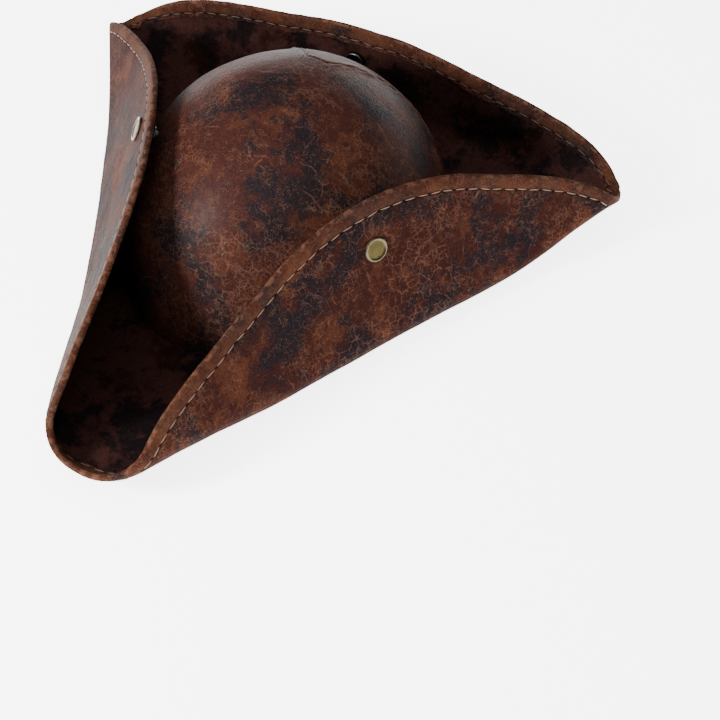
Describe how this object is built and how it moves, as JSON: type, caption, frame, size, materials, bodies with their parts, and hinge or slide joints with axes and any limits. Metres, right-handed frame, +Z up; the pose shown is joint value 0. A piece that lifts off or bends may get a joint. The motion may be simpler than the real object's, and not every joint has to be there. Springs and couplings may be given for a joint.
{
  "type": "three-cornered pirate hat",
  "caption": "Faux-leather tricorn: domed two-panel crown on a wired brim folded up into three flaps that snap to the crown.",
  "frame": {"origin": "centre of the bounding box in plan, at the underside of the brim", "axes": "+Z up out of the crown, -Y towards the front point (the way the wearer faces), +X towards the wearer's left"},
  "size_m": [0.331, 0.3404, 0.109],
  "materials": {
    "outer_leather": "semi-gloss mottled red-brown with slate patches",
    "inner_leather": "semi-gloss dark brown, crackled",
    "stiffening": "matt felt board",
    "wire": "bare",
    "thread": "waxed",
    "antique_brass": "dull, antiqued",
    "nickel": "satin nickel",
    "lining": "matt woven",
    "sweatband": "matt"
  },
  "bodies": {
    "crown_and_brim": {"brim_outer_leather": "outer_leather", "brim_stiffener": "stiffening", "brim_inner_leather": "inner_leather", "crown_front_panel": "outer_leather", "crown_back_band": "outer_leather", "crown_seam_welt": "outer_leather", "crown_lining": "lining", "sweatband": "sweatband", "snap_stud_left": "nickel", "snap_stud_right": "nickel", "snap_stud_back": "nickel"},
    "left_flap": {"flap_left_outer_leather": "outer_leather", "flap_left_inner_leather": "inner_leather", "flap_left_stiffener": "stiffening", "brim_wire_left": "wire", "hem_stitch_left": "thread", "snap_cap_left": "antique_brass", "snap_socket_left": "nickel"},
    "right_flap": {"flap_right_outer_leather": "outer_leather", "flap_right_inner_leather": "inner_leather", "flap_right_stiffener": "stiffening", "brim_wire_right": "wire", "hem_stitch_right": "thread", "snap_cap_right": "antique_brass", "snap_socket_right": "nickel"},
    "back_flap": {"flap_back_outer_leather": "outer_leather", "flap_back_inner_leather": "inner_leather", "flap_back_stiffener": "stiffening", "brim_wire_back": "wire", "hem_stitch_back": "thread", "snap_cap_back": "antique_brass", "snap_socket_back": "nickel"}
  },
  "joints": [
    {"name": "flap_left", "type": "hinge", "parent": "crown_and_brim", "child": "left_flap", "pos_m": [0.08875, -0.01449, 0.0244], "axis": [0.4609, 0.8875, 0], "range_deg": [0, 75]},
    {"name": "flap_right", "type": "hinge", "parent": "crown_and_brim", "child": "right_flap", "pos_m": [-0.09, -0.01449, 0.0244], "axis": [0.4609, -0.8875, 0], "range_deg": [0, 75]},
    {"name": "flap_back", "type": "hinge", "parent": "crown_and_brim", "child": "back_flap", "pos_m": [-0.00062, 0.16212, 0.0244], "axis": [-1, 0, 0], "range_deg": [-22, 60]}
  ]
}
